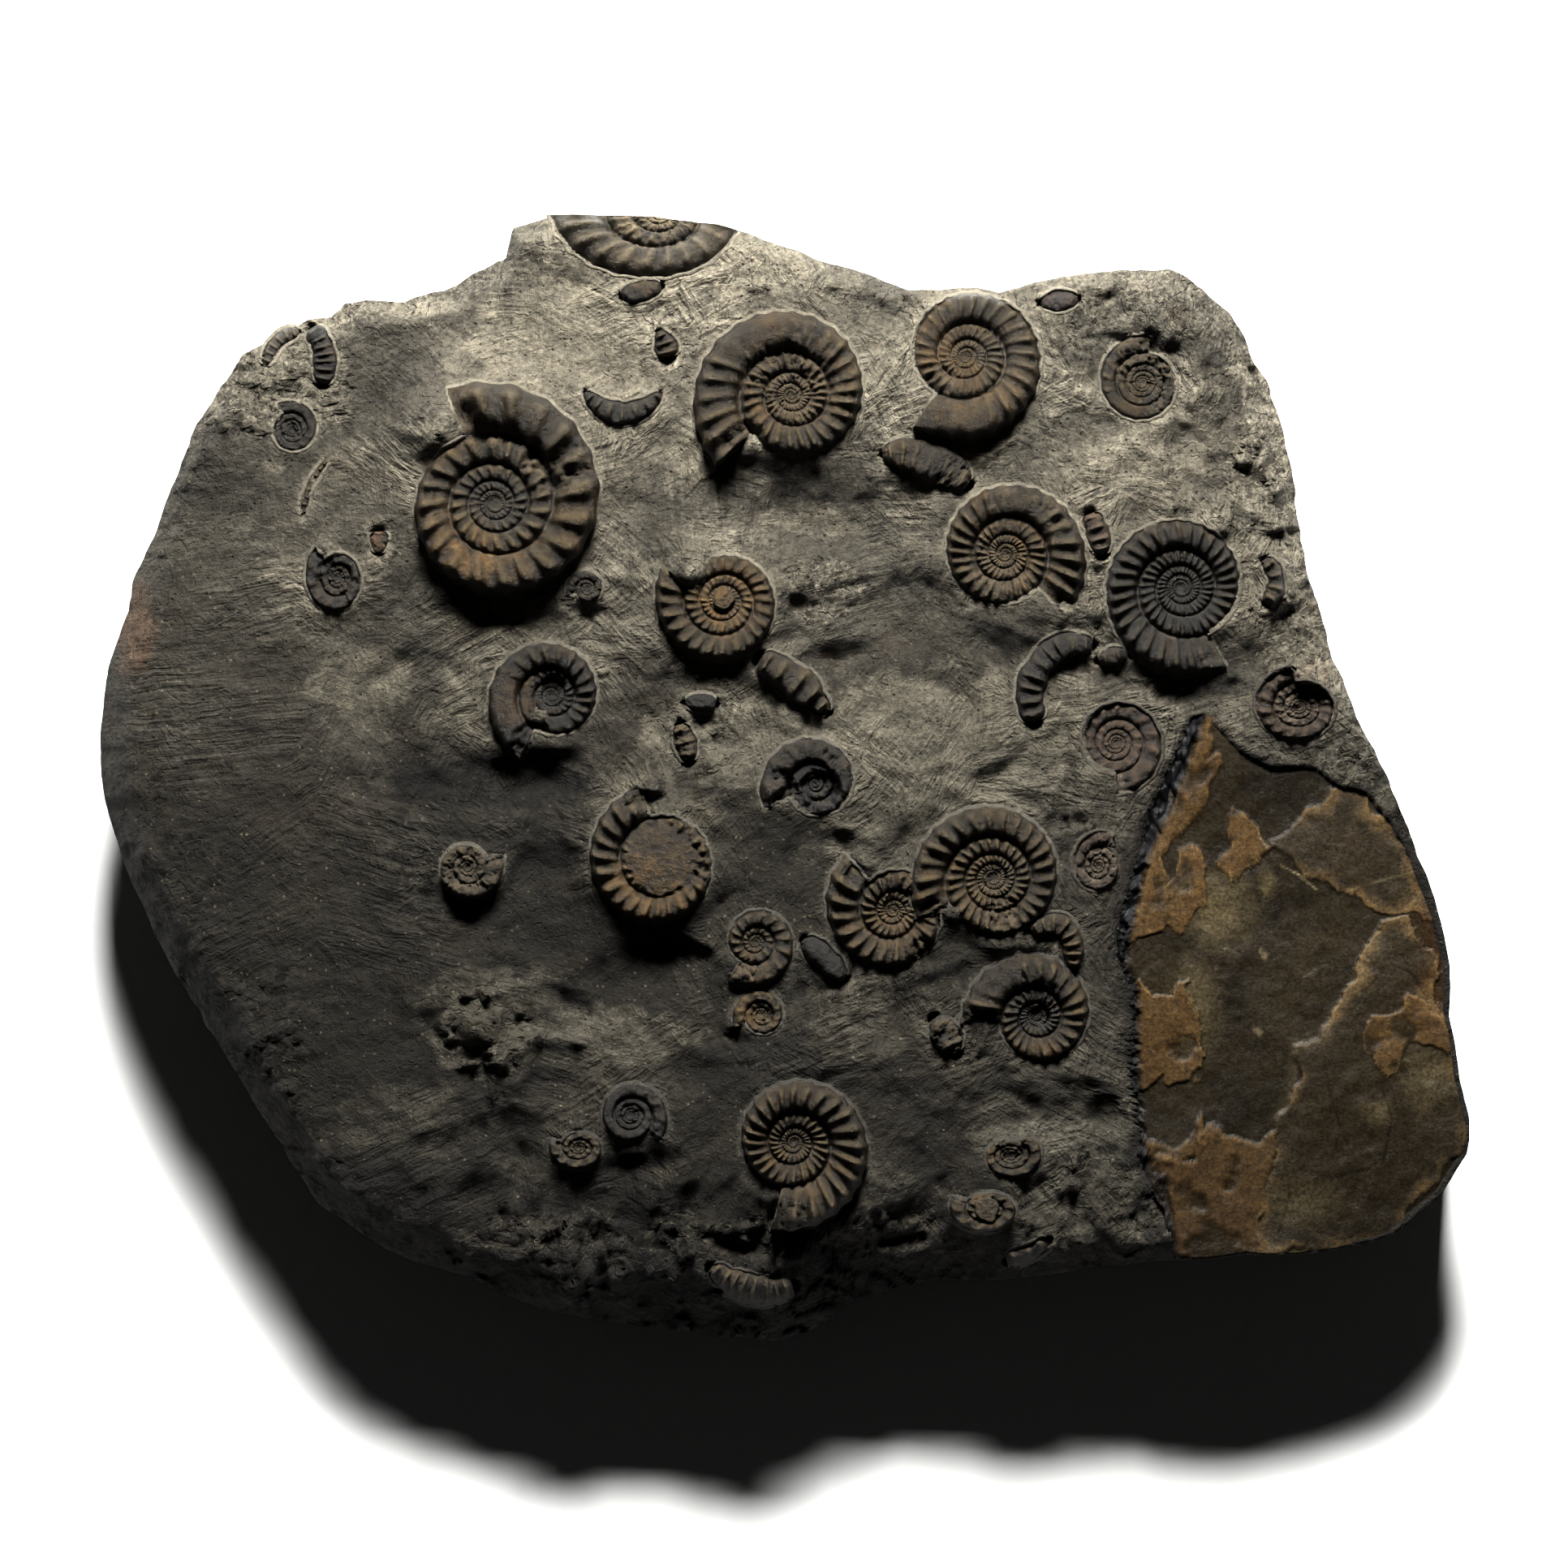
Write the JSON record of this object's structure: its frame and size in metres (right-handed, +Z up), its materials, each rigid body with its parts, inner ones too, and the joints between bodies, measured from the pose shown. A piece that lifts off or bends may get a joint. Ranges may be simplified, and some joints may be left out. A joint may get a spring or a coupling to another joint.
{
  "type": "ammonite cluster plate",
  "caption": "Dark limestone slab with a cluster of ribbed ammonites standing on its domed top and a sheet of brown calcite at one corner; lies on its flat back.",
  "frame": {"origin": "middle of the flat back, the face it rests on", "axes": "+Z up out of the fossil-bearing top, +X along the slab's length towards the calcite sheet's side, +Y towards the far margin as seen in the picture"},
  "size_m": [0.2873, 0.2374, 0.0545],
  "materials": {
    "limestone": "matt, scribed",
    "brown_calcite": "satin",
    "fossil_calcite": "semi-gloss",
    "bivalve_calcite": "satin",
    "pale_shell": "matt"
  },
  "bodies": {
    "root": {"matrix_slab": "limestone", "calcite_vein": "brown_calcite", "ammonite_01": "fossil_calcite", "ammonite_02": "fossil_calcite", "ammonite_03": "fossil_calcite", "ammonite_04": "fossil_calcite", "ammonite_05": "fossil_calcite", "ammonite_06": "fossil_calcite", "ammonite_07": "fossil_calcite", "ammonite_08": "fossil_calcite", "ammonite_09": "fossil_calcite", "ammonite_10": "fossil_calcite", "ammonite_11": "fossil_calcite", "ammonite_12": "fossil_calcite", "ammonite_13": "fossil_calcite", "ammonite_14": "fossil_calcite", "ammonite_15": "fossil_calcite", "ammonite_16": "fossil_calcite", "ammonite_17": "fossil_calcite", "ammonite_18": "fossil_calcite", "ammonite_19": "fossil_calcite", "ammonite_20": "fossil_calcite", "ammonite_21": "fossil_calcite", "ammonite_22": "fossil_calcite", "ammonite_23": "fossil_calcite", "ammonite_24": "fossil_calcite", "ammonite_25": "fossil_calcite", "ammonite_26": "fossil_calcite", "ammonite_27": "fossil_calcite", "ammonite_28": "fossil_calcite", "whorl_piece_01": "fossil_calcite", "whorl_piece_02": "fossil_calcite", "whorl_piece_03": "fossil_calcite", "whorl_piece_04": "fossil_calcite", "whorl_piece_05": "fossil_calcite", "whorl_piece_06": "fossil_calcite", "whorl_piece_07": "fossil_calcite", "whorl_piece_08": "fossil_calcite", "whorl_piece_09": "fossil_calcite", "whorl_piece_10": "fossil_calcite", "whorl_piece_11": "fossil_calcite", "whorl_piece_12": "fossil_calcite", "whorl_piece_13": "fossil_calcite", "whorl_piece_14": "fossil_calcite", "whorl_piece_15": "fossil_calcite", "whorl_piece_16": "fossil_calcite", "whorl_piece_17": "fossil_calcite", "whorl_piece_18": "fossil_calcite", "bivalve_shell": "bivalve_calcite", "shell_piece": "pale_shell", "ribbed_strip": "pale_shell"}
  },
  "joints": []
}
